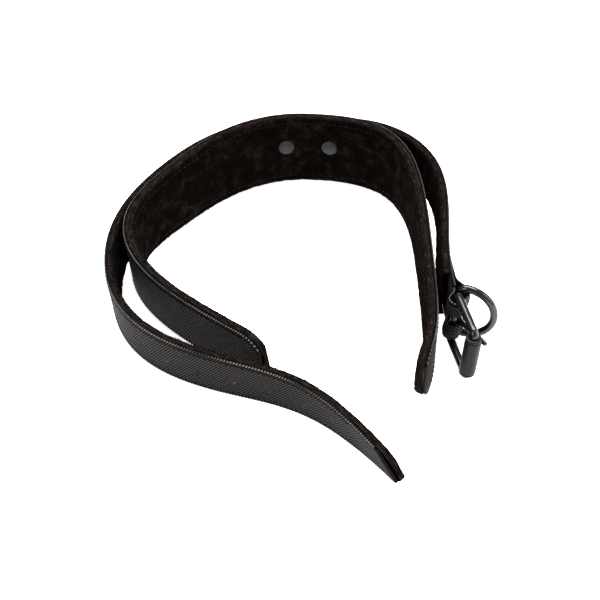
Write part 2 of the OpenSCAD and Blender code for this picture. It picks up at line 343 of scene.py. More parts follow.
def shell(name, front, back, material, strap=None, mask=None, back_strap=None):
    """A closed sheet between a front and a back grid of points, without the points that no face uses."""
    rows, columns = front.shape[:2]
    points = np.vstack([front.reshape(-1, 3), back.reshape(-1, 3)])
    if strap is not None:
        back_strap = strap if back_strap is None else back_strap
        strap = np.vstack([strap.reshape(-1, 3), back_strap.reshape(-1, 3)])
    faces = shell_faces(rows, columns, mask)
    used = np.zeros(len(points), bool)
    used[np.unique(np.array(faces))] = True
    order = np.cumsum(used) - 1
    faces = order[np.array(faces)]
    return make_mesh(name, points[used], faces, material, None if strap is None else strap[used])


# ---------------------------------------------------------------- materials

class Nodes:
    """A material's node tree, built with short calls."""

    def __init__(self, name):
        self.material = bpy.data.materials.new(name)
        self.material.use_nodes = True
        self.tree = self.material.node_tree
        self.bsdf = self.tree.nodes["Principled BSDF"]

    def node(self, kind, **settings):
        made = self.tree.nodes.new("ShaderNode" + kind)
        for key, value in settings.items():
            setattr(made, key, value)
        return made

    def link(self, source, target):
        self.tree.links.new(source, target)

    def math(self, operation, a, b=None):
        made = self.node("Math", operation=operation)
        for slot, value in zip(made.inputs, (a, b)):
            if value is None:
                continue
            if isinstance(value, (int, float)):
                slot.default_value = value
            else:
                self.link(value, slot)
        return made.outputs[0]

    def strap(self):
        """The three numbers that each point of a strip carries."""
        read = self.node("Attribute", attribute_name="strap")
        split = self.node("SeparateXYZ")
        self.link(read.outputs["Vector"], split.inputs[0])
        return read.outputs["Vector"], split.outputs

    def noise(self, vector, scale, detail=3.0, roughness=0.6):
        made = self.node("TexNoise")
        made.inputs["Scale"].default_value = scale
        made.inputs["Detail"].default_value = detail
        made.inputs["Roughness"].default_value = roughness
        self.link(vector, made.inputs["Vector"])
        return made.outputs["Fac"]

    def ramp(self, value, stops):
        made = self.node("ValToRGB")
        elements = made.color_ramp.elements
        while len(elements) < len(stops):
            elements.new(0.5)
        for element, (place, colour) in zip(elements, stops):
            element.position = place
            element.color = (*colour, 1.0)
        self.link(value, made.inputs["Fac"])
        return made.outputs["Color"]

    def blend(self, share, first, second):
        made = self.node("Mix", data_type="RGBA")
        for place, source in ((0, share), (6, first), (7, second)):
            self.link(source, made.inputs[place])
        return made.outputs[2]

    def base_colour(self, source):
        self.link(source, self.bsdf.inputs["Base Color"])

    def bump(self, height, distance):
        made = self.node("Bump")
        made.inputs["Strength"].default_value = 1.0
        made.inputs["Distance"].default_value = distance
        self.link(height, made.inputs["Height"])
        self.link(made.outputs["Normal"], self.bsdf.inputs["Normal"])

    def object_space(self):
        return self.node("TexCoord").outputs["Object"]

    def set(self, **values):
        for key, value in values.items():
            self.bsdf.inputs[key.replace("_", " ")].default_value = value


def twill_material():
    """Ribbed twill, with painted shade in the rib grooves and painted highlights on the toothed edges and the
    border crease. Each point carries its place across the ribs, its distance from the edge and s.
    """
    m = Nodes("webbing_twill")
    vector, (rib, edge, _) = m.strap()
    crest = m.math("ABSOLUTE", m.math("COSINE", m.math("MULTIPLY", rib, math.pi)))
    threads = m.noise(m.object_space(), 2600, 2.0)
    field = m.math("GREATER_THAN", edge, 2.45)
    tooth = m.math("LESS_THAN", edge, 0.3)
    # A thin lighter line 2.35 mm in from the edge: a painted highlight on the crest where the border bends
    crease_highlight = m.math("LESS_THAN", m.math("ABSOLUTE", m.math("SUBTRACT", edge, 2.35)), 0.2)
    weave = m.math("ADD", m.math("MULTIPLY", field, 0.5), 0.5)
    ridge = m.math("MULTIPLY", m.math("POWER", crest, 1.5), weave)
    plain = m.math("MULTIPLY", m.math("SUBTRACT", 1.0, field), 0.2)
    shade = m.math("ADD", m.math("ADD", ridge, plain), m.math("MULTIPLY", crease_highlight, 0.5))
    shade = m.math("ADD", m.math("MULTIPLY", shade, 0.94), m.math("MULTIPLY", threads, 0.1))
    # The ramp paints the rib grooves near black and the crests lighter: painted shade in the grooves, on top
    # of the real ribs
    cloth = m.ramp(shade, [(0.22, (0.0004, 0.0004, 0.0003)), (0.6, (0.0022, 0.002, 0.0018)),
                           (1.0, (0.046, 0.042, 0.039))])
    # The toothed edges take a colour up to several times lighter than the cloth, broken up along the edge:
    # painted highlights on the rib ends
    tooth_glint = m.math("MULTIPLY", crest, m.math("ADD", 0.35, m.noise(m.object_space(), 45, 2.0)))
    tooth_highlight = m.ramp(tooth_glint, [(0.5, (0.004, 0.004, 0.004)), (0.95, (0.16, 0.152, 0.146))])
    m.base_colour(m.blend(tooth, cloth, tooth_highlight))
    m.set(Roughness=0.6, Specular_IOR_Level=0.03)
    m.bump(m.math("ADD", threads, m.noise(m.object_space(), 900)), 0.00006)
    return m.material


def velvet_material():
    """Crushed velvet, with a painted sheen on the turned rims. Each point carries how far it is turned to the
    rim, which sets the share of painted sheen, its place across and s.
    """
    m = Nodes("velvet")
    place = m.object_space()
    crushed = m.noise(place, 170, 4.0, 0.65)
    fibres = m.noise(place, 2200, 2.0)
    tone = m.math("ADD", m.math("MULTIPLY", crushed, 0.75), m.math("MULTIPLY", fibres, 0.25))
    _, (rim, across, along) = m.strap()
    grain = m.node("CombineXYZ")
    m.link(m.math("MULTIPLY", along, 0.22), grain.inputs[0])
    m.link(m.math("MULTIPLY", across, 1.3), grain.inputs[1])
    streaks = m.noise(grain.outputs[0], 1.0, 4.0, 0.7)
    streaks = m.math("ADD", m.math("MULTIPLY", streaks, 0.7), m.math("MULTIPLY", fibres, 0.3))
    # The turned rims get a streaked colour, like crushed nap, several times lighter than the flat velvet:
    # painted sheen from the top light
    brushed_rim_sheen = m.ramp(streaks, [(0.4, (0.0015, 0.0011, 0.0009)), (0.55, (0.012, 0.009, 0.0078)),
                               (0.72, (0.06, 0.047, 0.042))])
    flat = m.ramp(tone, [(0.3, (0.001, 0.0008, 0.0007)), (0.52, (0.0028, 0.002, 0.0017)),
                         (0.78, (0.016, 0.011, 0.009))])
    m.base_colour(m.blend(rim, flat, brushed_rim_sheen))
    m.set(Roughness=0.95, Specular_IOR_Level=0.0, Sheen_Weight=0.008, Sheen_Roughness=0.3,
          Sheen_Tint=(0.55, 0.42, 0.38, 1.0))
    m.bump(m.math("ADD", m.math("MULTIPLY", crushed, 1.5), fibres), 0.0003)
    return m.material


def thread_material():
    """Dark twisted thread."""
    m = Nodes("thread")
    twist = m.noise(m.object_space(), 3200, 2.0)
    m.base_colour(m.ramp(twist, [(0.3, (0.0015, 0.0014, 0.0013)), (0.7, (0.011, 0.01, 0.0095))]))
    m.set(Roughness=0.6, Specular_IOR_Level=0.06)
    m.bump(twist, 0.0001)
    return m.material


def foam_material():
    """Pale open-cell foam."""
    m = Nodes("foam")
    cells = m.node("TexVoronoi")
    cells.inputs["Scale"].default_value = 1400
    m.link(m.object_space(), cells.inputs["Vector"])
    tone = cells.outputs["Distance"]
    m.base_colour(m.ramp(tone, [(0.0, (0.35, 0.33, 0.27)), (0.6, (0.72, 0.69, 0.6))]))
    m.set(Roughness=0.9)
    m.bump(tone, 0.0002)
    return m.material


def metal_material(name, dark, light, roughness, coat, shine):
    """Dark plated metal with faint brushing, wear and uneven polish."""
    m = Nodes(name)
    place = m.object_space()
    cloud = m.noise(place, 260, 5.0, 0.7)
    grain = m.noise(place, 2400, 2.0)
    m.base_colour(m.ramp(cloud, [(0.3, dark), (0.75, light)]))
    rough = m.math("ADD", roughness - 0.05, m.math("MULTIPLY", m.math("MULTIPLY", cloud, grain), 0.3))
    m.link(rough, m.bsdf.inputs["Roughness"])
    m.set(Metallic=0.0, Coat_Weight=coat, Coat_Roughness=0.18, Specular_IOR_Level=shine)
    m.bump(grain, 0.00002)
    return m.material


TWILL = twill_material()
VELVET = velvet_material()
THREAD = thread_material()
FOAM = foam_material()
DARK_METAL = metal_material(
    "dark_metal", (0.002, 0.002, 0.002), (0.006, 0.006, 0.006), roughness=0.2, coat=0.2, shine=0.35)
ROLLER_METAL = metal_material(
    "roller_metal", (0.003, 0.0029, 0.0027), (0.009, 0.0086, 0.0082), roughness=0.42, coat=0.0, shine=0.12)
RIVET_METAL = metal_material(
    "rivet_metal", (0.01, 0.0095, 0.009), (0.018, 0.0172, 0.0165), roughness=0.5, coat=0.0, shine=0.2)


# ---------------------------------------------------------------- woven strips

# Half width on which the columns of a strip's weave are laid out, before they are fitted to the strip
WEAVE_HALF = 12.1
# Rows across the webbing: distance in from the edge and how far the front face lies back from flat
BORDER = [(0.0, -0.45), (0.12, -0.2), (0.35, -0.1), (0.7, -0.14), (1.3, -0.14), (1.9, -0.12), (2.12, -0.04),
          (2.3, 0.0), (2.48, -0.04), (2.7, 0.0)]


def relief(phase, from_edge, base):
    """Height of the woven face over the columns' base, its ribs' crests, and how toothed each column is."""
    crest = np.abs(np.cos(math.pi * phase))
    field = np.clip((from_edge - 2.3) / 0.5, 0, 1)
    tooth = np.clip((0.5 - from_edge) / 0.4, 0, 1)
    height = base[None, :] - RIB_H * (1 - crest) * np.maximum(field, tooth)[None, :]
    return height, crest, tooth


def plain_back(strap):
    """What the back of a strip carries: the same as its front, but with no toothed edge, so the painted edge
    highlights stay on the front.
    """
    behind = strap.copy()
    behind[..., 1] = np.maximum(behind[..., 1], RIM_EDGE)
    return behind


def woven(name, strip, s0, s1, inset, thick, slant=0.0, lean=RIB_LEAN):
    """Twill webbing whose columns follow the slanting ribs, with a plain border and toothed edges."""
    nominal = WEAVE_HALF
    reach = nominal * 1.7 * abs(lean)
    u = np.arange(s0 - reach, s1 + reach, RIB_PITCH / RIB_SAMPLES)
    depth = np.array([b[0] for b in BORDER])
    base = np.array([b[1] for b in BORDER])
    middle = np.linspace(depth[-1], 2 * nominal - depth[-1], 9)[1:-1]
    depth = np.concatenate([depth, middle, 2 * nominal - depth[::-1]])
    base = np.concatenate([base, np.zeros(len(middle)), base[::-1]])
    t = 1 - depth / nominal
    from_edge = np.minimum(depth, 2 * nominal - depth)
    widest = float(np.max(strip.half(np.linspace(s0, s1, 40)))) - inset
    fray = 0.35 * noise(t * 9.0, t * 0.0, 71) if slant else 0.0 * t
    first = s0 + slant * (1 + t) / 2 + np.abs(fray)
    s = np.clip(u[:, None] + lean * t[None, :] * widest, first[None, :], s1)
    z = t[None, :] * np.maximum(strip.half(s) - inset, 0.8)
    phase = (s - lean * t[None, :] * widest) / RIB_PITCH
    v, crest, tooth = relief(phase, from_edge, base)
    z = z + np.sign(t)[None, :] * 0.22 * crest * tooth[None, :]
    front = strip.put(s, v, z)
    back_v = np.where(from_edge < 0.3, -thick + 0.4, -thick)[None, :] + 0 * s
    back = strip.put(s, back_v, z)
    strap = np.stack([phase, np.repeat(from_edge[None, :], len(u), 0), s], -1)
    return shell(name, front, back, TWILL, strap, back_strap=plain_back(strap))


def resample(points, count):
    """The same path through count points, evenly spaced."""
    points = np.array(points, float)
    run = np.concatenate([[0], np.cumsum(np.hypot(*np.diff(points, axis=0).T))])
    at = np.linspace(0, run[-1], count)
    return np.stack([np.interp(at, run, points[:, 0]), np.interp(at, run, points[:, 1])], -1)


def run_columns(s0, s1, spacing, round_first, round_last):
    """Distances along a strip, closer together over the last few mm of a rounded end."""
    ease = 1 - np.cos(np.linspace(0, math.pi / 2, 13))
    parts = [np.linspace(s0, s1, int((s1 - s0) / spacing) + 1)]
    if round_first:
        parts = [s0 + round_first * ease, parts[0][parts[0] > s0 + round_first + 0.3]]
    if round_last:
        parts[-1] = parts[-1][parts[-1] < s1 - round_last - 0.3]
        parts.append(s1 - round_last * ease[::-1])
    return np.concatenate(parts)


# Cross-section of each lining from its outer edge to its middle: depth behind the outer face, and
# distance in from the edge
BAND_RIM = [(-1.5, 2.5), (-1.48, 0.9), (-1.7, 0.3), (-2.4, 0.0), (-3.5, 0.0), (-4.5, 0.35), (-5.2, 1.1),
            (-5.55, 2.2), (-5.5, 3.2), (-5.2, 3.85), (-5.15, 4.1), (-5.45, 4.7), (-5.6, 5.8), (-5.65, 8.0)]
BELT_RIM = [(-1.56, 0.9), (-1.6, 0.2), (-2.1, 0.0), (-3.0, 0.0), (-3.8, 0.25), (-4.4, 0.8), (-4.7, 1.7),
            (-4.75, 2.6), (-4.8, 4.0)]


# The last mm of a rounded end, over which the velvet closes down onto the webbing
NOSE_L = 1.6
# How far behind the webbing's outer face the velvet and the foam begin
VELVET_TOP = -1.5


def lining(name, strip, s0, s1, rim, rim_rows, wall, seed, round_first=0, round_last=0, wrinkle=0.12):
    """Velvet that wraps the edges of the padding, creased where it turns over them."""
    s = run_columns(s0, s1, 0.9, round_first, round_last)
    rim = resample(rim, rim_rows)
    sides = np.linspace(1, 0, 9)[1:-1]
    half = strip.half(s)
    rows_v, rows_z = [], []
    for v, inset in rim:
        rows_v.append(np.full(len(s), v))
        rows_z.append(half - np.minimum(inset, half * inset / 13))
    for part in np.linspace(1, -1, 11)[1:-1]:
        rows_v.append(np.full(len(s), rim[-1][0]))
        rows_z.append(rows_z[len(rim) - 1] * part)
    for row in range(len(rim) - 1, -1, -1):
        rows_v.append(rows_v[row])
        rows_z.append(-rows_z[row])
    v, z = np.array(rows_v), np.array(rows_z)
    room = np.full(len(s), 9.0)
    if round_first:
        room = np.minimum(room, s - s0)
    if round_last:
        room = np.minimum(room, s1 - s)
    nose = np.sqrt(1 - (1 - np.clip(room / NOSE_L, 0.004, 1)) ** 2)
    v = VELVET_TOP + (v - VELVET_TOP) * nose[None, :]
    dv, dz = np.gradient(v, axis=0), np.gradient(z, axis=0)
    length = np.maximum(np.hypot(dv, dz), 1e-6)
    out_v, out_z = dz / length, -dv / length
    across = np.cumsum(length, axis=0)
    along = np.repeat(s[None, :], len(v), 0)
    creases = noise(along / 3.2, across / 9.0, seed) + 0.6 * noise(along / 1.5, across / 4.0, seed + 1)
    tufts = noise(along / 0.9, across / 0.8, seed + 2)
    lift = np.where(v < -1.6, wrinkle * creases + 0.07 * tufts - wrinkle, 0)
    inner_v = np.minimum(v - out_v * wall, VELVET_TOP)
    front = strip.put(along, v + out_v * lift, z + out_z * lift)
    back = strip.put(along, inner_v, z - out_z * wall)
    # How far each point is turned over the edge, top and bottom: the share of painted sheen that the velvet
    # takes
    turned = np.clip((v - rim[-1][0] - 0.5) / 0.9, 0, 1)
    strap = np.stack([turned, across, along], -1)
    return shell(name, front, back, VELVET, strap)


def nap(obj, strip, s0, s1, depth, top, count, seed):
    """Short tufts that stand up from the velvet's turned edge, as small closed cones in the same mesh."""
    dice = np.random.RandomState(seed)
    s = dice.uniform(s0, s1, count)
    v = dice.uniform(-depth, top, count)
    side = np.where(dice.uniform(size=count) < 0.8, 1, -1)
    ridge = 1 - np.abs((v - (top - depth) / 2) / ((top + depth) / 2)) ** 3
    z = side * (strip.half(s) - 0.35 - 0.5 * (1 - ridge))
    length = dice.uniform(0.5, 1.4, count)
    lean_s, lean_v = dice.uniform(-0.45, 0.45, count), dice.uniform(-0.3, 0.3, count)
    angles = np.linspace(0, 2 * math.pi, 3, endpoint=False)
    foot = [strip.put(s + 0.2 * math.cos(a), v + 0.2 * math.sin(a), z) for a in angles]
    tip = strip.put(s + lean_s, v + lean_v, z + side * length)
    bm = bmesh.new()
    bm.from_mesh(obj.data)
    layer = bm.verts.layers.float_vector["strap"]
    for i in range(count):
        points = [bm.verts.new((p[i] * MM).tolist()) for p in (*foot, tip)]
        # Tufts carry 1 as their turn, so they take the painted rim sheen too
        for point in points:
            point[layer] = (1.0, float(v[i]) * 3, float(s[i]) * 5)
        for face in ((0, 1, 2), (0, 3, 1), (1, 3, 2), (2, 3, 0)):
            bm.faces.new([points[k] for k in (face if side[i] > 0 else face[::-1])])
    bm.to_mesh(obj.data)
    bm.free()


def bead_faces(first, rings):
    """Faces of a closed bead of six-sided rings whose first point has the number first."""
    faces = []
    for ring in range(rings - 1):
        for k in range(6):
            a = first + ring * 6 + k
            b = first + ring * 6 + (k + 1) % 6
            faces.append((a, b, b + 6, a + 6))
    last = first + 6 * (rings - 1)
    faces.append(tuple(first + k for k in range(5, -1, -1)))
    faces.append(tuple(last + k for k in range(6)))
    return faces


def stitches(name, strip, s0, s1, rows, pitch):
    """Rows of single stitches. rows holds (v, distance in from the edge, side)."""
    angles = np.linspace(0, 2 * math.pi, 6, endpoint=False)
    shape = [(-0.5, 0.35, -0.35), (-0.38, 0.85, -0.1), (0.0, 1.0, 0.08), (0.38, 0.85, -0.1),
             (0.5, 0.35, -0.35)]
    length = pitch * 0.72
    points, faces = [], []
    for v, inset, side in rows:
        out = 1 if v > -1 else -1
        for s in np.arange(s0 + pitch / 2, s1, pitch):
            first = len(points)
            for along, width, sink in shape:
                at = np.full(6, s + along * length)
                ring_v = v + out * (0.1 + sink * 0.5 + width * THREAD_T / 2 * np.cos(angles) * 0.7)
                ring_z = side * (strip.half(at) - inset) + width * THREAD_T / 2 * np.sin(angles)
                points += strip.put(at, ring_v, ring_z).tolist()
            faces += bead_faces(first, len(shape))
    return make_mesh(name, points, faces, THREAD)


# What the walls of a punched hole carry: the bottom of a groove, well away from the edge, which the twill
# paints darkest (painted shade inside the hole), or flat velvet without the painted rim sheen
TWILL_WALL = (0.5, 5.0, 0.0)
VELVET_WALL = (0.0, 0.0, 0.0)


def punched(obj, places, radius, carried):
    """Cuts round holes through a strip of the belt. carried is what the holes' walls carry."""
    cutters = bmesh.new()
    for s in places:
        s = np.array([s])
        centre = Vector(belt.put(s, np.array([BELT_CORE]), np.array([PUNCH_Z]))[0] * MM)
        outer = Vector(belt.put(s, np.array([10.0]), np.array([PUNCH_Z]))[0] * MM)
        turn = (outer - centre).to_track_quat("Z", "Y").to_matrix().to_4x4()
        bmesh.ops.create_cone(cutters, cap_ends=True, segments=20, radius1=radius * MM, radius2=radius * MM,
                              depth=12 * MM, matrix=Matrix.Translation(centre) @ turn)
    mesh = bpy.data.meshes.new("punches")
    cutters.to_mesh(mesh)
    cutters.free()
    wall = mesh.attributes.new("strap", "FLOAT_VECTOR", "POINT")
    wall.data.foreach_set("vector", np.tile(np.array(carried, np.float32), len(mesh.vertices)))
    tool = bpy.data.objects.new("punches", mesh)
    bpy.context.scene.collection.objects.link(tool)
    cut = obj.modifiers.new("holes", "BOOLEAN")
    cut.operation, cut.solver, cut.object = "DIFFERENCE", "EXACT", tool
    bpy.context.view_layer.update()
    result = bpy.data.meshes.new_from_object(obj.evaluated_get(bpy.context.evaluated_depsgraph_get()))
    obj.modifiers.clear()
    result.set_sharp_from_angle(angle=math.radians(50))
    obj.data = result
    bpy.data.objects.remove(tool)


# ---------------------------------------------------------------- hardware

def turn_about(axis, degrees):
    """A rotation as a 3 x 3 array."""
    return np.array(Matrix.Rotation(math.radians(degrees), 3, axis))


end_x, end_y, end_normal = (float(a) for a in BELT.at(np.array(ARM_L)))
ARM_DROOP = math.degrees(math.atan(ARM_DROP_POWER * (BACK_Z - ARM_Z) / ARM_L))
ARM_TURN = turn_about("Z", end_normal - 90) @ turn_about("X", -ARM_LEAN) @ turn_about("Y", ARM_DROOP)
ARM_END = np.array([end_x, end_y, ARM_Z])


def at_arm_end(points):
    """From the frame at the end of the arm, [along, outwards, up], to the row frame."""
    return np.asarray(points) @ ARM_TURN.T + ARM_END


def at_bar(u, v, turn):
    """Returns a function that places points [along, outwards, up] about a bar, turned outwards."""
    spin = turn_about("Z", turn)
    return lambda points: at_arm_end(np.asarray(points) @ spin.T + np.array([u, v, 0]))


def arc(centre, radius, first, last, count):
    a = np.radians(np.linspace(first, last, count))
    return np.stack([centre[0] + radius * np.cos(a), centre[1] + radius * np.sin(a)], -1)


def line(a, b, count):
    return np.linspace(a, b, count)


def chain(*parts):
    """One path through the parts, without the points they share."""
    points = np.vstack(parts)
    keep = np.concatenate([[True], np.hypot(*np.diff(points, axis=0).T) > 1e-4])
    return points[keep]


def tube(name, path, normal, widths, material, place, closed=False, sides=24):
    """A wire along a flat path. widths is (across the plane, in the plane) for each point."""
    path = np.asarray(path, float)
    n = len(path)
    if closed:
        ahead = np.roll(path, -1, 0) - np.roll(path, 1, 0)
    else:
        ahead = np.gradient(path, axis=0)
    ahead /= np.linalg.norm(ahead, axis=1)[:, None]
    inward = np.cross(normal, ahead)
    widths = np.broadcast_to(np.asarray(widths, float), (n, 2))
    angles = np.linspace(0, 2 * math.pi, sides, endpoint=False)
    across = widths[:, None, :1] * np.cos(angles)[None, :, None] * np.asarray(normal, float)
    within = widths[:, None, 1:] * np.sin(angles)[None, :, None] * inward[:, None, :]
    rings = path[:, None, :] + across + within
    points = rings.reshape(-1, 3)
    faces = []
    for i in range(n if closed else n - 1):
        for k in range(sides):
            a, b = i * sides + k, i * sides + (k + 1) % sides
            following = ((i + 1) % n) * sides
            c, d = following + (k + 1) % sides, following + k
            faces.append((a, b, c, d))
    if not closed:
        faces.append(tuple(range(sides - 1, -1, -1)))
        faces.append(tuple((n - 1) * sides + k for k in range(sides)))
    return make_mesh(name, place(points), faces, material)


def lathe(name, profile, material, place, sides=48):
    """A turned part from a closed loop of (radius, height) points round the up axis."""
    profile = np.asarray(profile, float)
    angles = np.linspace(0, 2 * math.pi, sides, endpoint=False)
    points = np.stack([profile[:, None, 0] * np.cos(angles), profile[:, None, 0] * np.sin(angles),
                       np.repeat(profile[:, 1:], sides, 1)], -1).reshape(-1, 3)
    faces = []
    for i in range(len(profile)):
        row = i * sides
        following = ((i + 1) % len(profile)) * sides
        for k in range(sides):
            ahead = (k + 1) % sides
            faces.append((row + k, row + ahead, following + ahead, following + k))
    return make_mesh(name, place(points), faces, material)


def flat_to_space(path):
    """A path in the plane of a ring, [along, up], as points in its own frame."""
    return np.stack([path[:, 0], np.zeros(len(path)), path[:, 1]], -1)


def wire_ring(name, path, place):
    """A closed loop of round wire."""
    return tube(name, flat_to_space(path), (0, 1, 0), (WIRE_R, WIRE_R), DARK_METAL, place, closed=True)


def make_d_ring():
    """The D-ring: a straight bar, two small corners and a half circle."""
    side = RING_HALF - CORNER_R
    path = chain(line((0, -side), (0, side), 14),
                 arc((CORNER_R, side), CORNER_R, 180, 90, 9),
                 line((CORNER_R, RING_HALF), (DRING_ARC_X, RING_HALF), 4),
                 arc((DRING_ARC_X, 0), RING_HALF, 90, -90, 49),
                 line((DRING_ARC_X, -RING_HALF), (CORNER_R, -RING_HALF), 4),
                 arc((CORNER_R, -side), CORNER_R, 270, 180, 9))[:-1]
    return wire_ring("d_ring_wire", path, at_bar(DBAR_U, DBAR_V, DRING_OUT))


def make_frame():
    """The buckle's rectangular frame."""
    side, far = RING_HALF - CORNER_R, BUCKLE_L - CORNER_R
    path = chain(line((0, -side), (0, side), 14),
                 arc((CORNER_R, side), CORNER_R, 180, 90, 10),
                 line((CORNER_R, RING_HALF), (far, RING_HALF), 12),
                 arc((far, side), CORNER_R, 90, 0, 10),
                 line((BUCKLE_L, side), (BUCKLE_L, -side), 14),
                 arc((far, -side), CORNER_R, 0, -90, 10),
                 line((far, -RING_HALF), (CORNER_R, -RING_HALF), 12),
                 arc((CORNER_R, -side), CORNER_R, 270, 180, 10))[:-1]
    return wire_ring("buckle_frame_wire", path, at_bar(BAR_U, BAR_V, BUCKLE_OUT))


def make_roller():
    """A rolled tube on the frame's far bar, with a grooved collar at each end and a seam along one side."""
    top = ROLLER_L / 2
    bore = WIRE_R + 0.1
    r = ROLLER_R
    collar = [(bore, top - 0.2), (bore + 0.3, top), (r - 0.45, top), (r - 0.2, top - 0.12),
              (r - 0.12, top - 0.4), (r - 0.12, top - 0.95), (r - 0.32, top - 1.1), (r - 0.32, top - 1.35),
              (r - 0.04, top - 1.55), (r, top - 1.9)]
    side = [(r, z) for z in np.linspace(top - 3, 3 - top, 8)]
    profile = collar + side + [(reach, -z) for reach, z in collar[::-1]]
    place = at_bar(BAR_U, BAR_V, BUCKLE_OUT)
    shift = np.array([BUCKLE_L, 0, 0])
    roller = lathe("buckle_roller_tube", profile, ROLLER_METAL, lambda p: p)
    points = np.array([vertex.co for vertex in roller.data.vertices]) / MM
    angle = np.degrees(np.arctan2(points[:, 1], points[:, 0]))
    radius = np.hypot(points[:, 0], points[:, 1])
    seam = np.where((radius > 2.5) & (np.abs(np.abs(angle) - 180) < 4), 0.93, 1.0)
    points[:, :2] *= seam[:, None]
    roller.data.vertices.foreach_set("co", (place(points + shift) * MM).ravel())
    return roller


def make_prong():
    """A flattened eye bent round the bar that runs on into a round pin with a blunt tip."""
    eye_points = 30
    eye = arc((0, 0), WIRE_R + 0.8, 300, 70, eye_points)
    shank_v = 0.4
    join = np.array([(2.9, 1.7), (4.2, 1.0), (5.6, 0.58), (7.0, shank_v)])
    shank = line((8.5, shank_v), (BUCKLE_L + 1.4, shank_v), 20)
    tip = np.array([(BUCKLE_L + 2.0, shank_v), (BUCKLE_L + 2.35, shank_v), (BUCKLE_L + 2.5, shank_v)])
    path = chain(eye, join, shank, tip)
    row = np.arange(len(path))
    marks = [0, eye_points, eye_points + len(join), len(path) - 4, len(path) - 2, len(path) - 1]
    across = np.interp(row, marks, [1.8, 1.75, 1.25, 1.2, 1.05, 0.7])
    thick = np.interp(row, marks, [0.65, 0.75, 1.2, 1.15, 1.0, 0.65])
    skew = math.radians(PRONG_SKEW)
    ahead = np.where(row >= eye_points, path[:, 0], 0)
    points = np.stack([path[:, 0] - ahead * (1 - math.cos(skew)), path[:, 1], ahead * math.sin(skew)], -1)
    place = at_bar(BAR_U, BAR_V, BUCKLE_OUT + PRONG_OUT)
    return tube("buckle_prong_pin", points, (0, 0, 1), np.stack([across, thick], -1), DARK_METAL, place)


def make_fold():
    """The webbing's end, which wraps the buckle bar, crosses over the D-ring's bar and is sewn down."""
    r = BORE_R + LOOP_T - FOLD_T / 2
    bar, dbar = np.array([BAR_U, BAR_V]), np.array([DBAR_U, DBAR_V])
    ahead = (dbar - bar) / np.linalg.norm(dbar - bar)
    lift = np.array([ahead[1], -ahead[0]])
    angle = math.degrees(math.atan2(lift[1], lift[0]))
    path = chain(np.array([(-1.0, -0.75), (0.6, -0.8), (2.2, -1.6), (3.6, -3.1), (5.0, -4.1)]),
                 arc(bar, r, -98, angle, 22),
                 line(bar + r * lift, dbar + r * lift, 10)[1:-1],
                 arc(dbar, r, angle, 125, 12),
                 np.array([(-2.6, 4.0), (-4.8, 2.2), (-6.6, 1.15), (-8.4, 0.8)]),
                 line((-10.0, 0.76), (-22.0, 0.76), 13))
    run = np.concatenate([[0], np.cumsum(np.hypot(*np.diff(path, axis=0).T))])
    pitch = RIB_PITCH / RIB_SAMPLES
    a = np.linspace(0, run[-1], int(run[-1] / pitch) + 1)
    centre = np.stack([np.interp(a, run, path[:, 0]), np.interp(a, run, path[:, 1])], -1)
    for _ in range(6):
        centre[1:-1] = (centre[:-2] + 2 * centre[1:-1] + centre[2:]) / 4
    ahead = np.gradient(centre, axis=0)
    ahead /= np.linalg.norm(ahead, axis=1)[:, None]
    out = np.stack([ahead[:, 1], -ahead[:, 0]], -1)
    edge = [d for d, _ in BORDER[:-1]]
    w = np.concatenate([FOLD_HALF - np.array(edge), np.linspace(8.3, -8.3, 29),
                        -FOLD_HALF + np.array(edge[::-1])])
    depth = FOLD_HALF - np.abs(w)
    base = np.interp(depth, [b[0] for b in BORDER], [b[1] for b in BORDER])
    phase = (a[:, None] - RIB_LEAN * w[None, :]) / RIB_PITCH
    lift_v, _, _ = relief(phase, depth, FOLD_T / 2 + base)
    puff = 0.18 * np.cos(math.pi * np.clip((np.abs(w) - 7.0) / 4.3, -1, 1))[None, :]
    wrap = ((a > 4) & (a < 30))[:, None]
    lift_v = lift_v + np.where(wrap, puff, 0)
    back_v = np.where(depth < 0.3, -FOLD_T / 2 + 0.35, -FOLD_T / 2)[None, :]

    def spread(offset):
        flat = centre[:, None, :] + offset[..., None] * out[:, None, :]
        up = np.broadcast_to(w[None, :, None], flat.shape[:2] + (1,))
        return at_arm_end(np.concatenate([flat, up], -1))

    at = 0.5 * (w[1:] + w[:-1])
    middle = 0.5 * (a[1:] + a[:-1])
    on_bar = (middle > 4.0) & (middle < 21.0)
    mask = ~(on_bar[:, None] & (np.abs(at) < 2.9)[None, :])
    strap = np.stack([phase, np.repeat(depth[None, :], len(a), 0), np.repeat(a[:, None], len(w), 1)], -1)
    back = spread(back_v + 0 * phase)
    return shell("belt_end_loop", spread(lift_v), back, TWILL, strap, mask, plain_back(strap))


def cross_stitches(name):
    """Two rows across the folded end."""
    points, faces = [], []
    angles = np.linspace(0, 2 * math.pi, 6, endpoint=False)
    shape = [(-0.5, 0.4, -0.2), (-0.3, 0.9, 0.0), (0.3, 0.9, 0.0), (0.5, 0.4, -0.2)]
    for u in (-20, -9):
        for w in np.arange(-8.4, 8.5, 2.4):
            first = len(points)
            for along, width, sink in shape:
                ring = np.stack([u + width * 0.28 * np.cos(angles), 1.5 + sink + width * 0.2 * np.sin(angles),
                                 np.full(6, w + along * 1.8)], -1)
                points += at_arm_end(ring).tolist()
            faces += bead_faces(first, len(shape))
    return make_mesh(name, points, faces, THREAD)


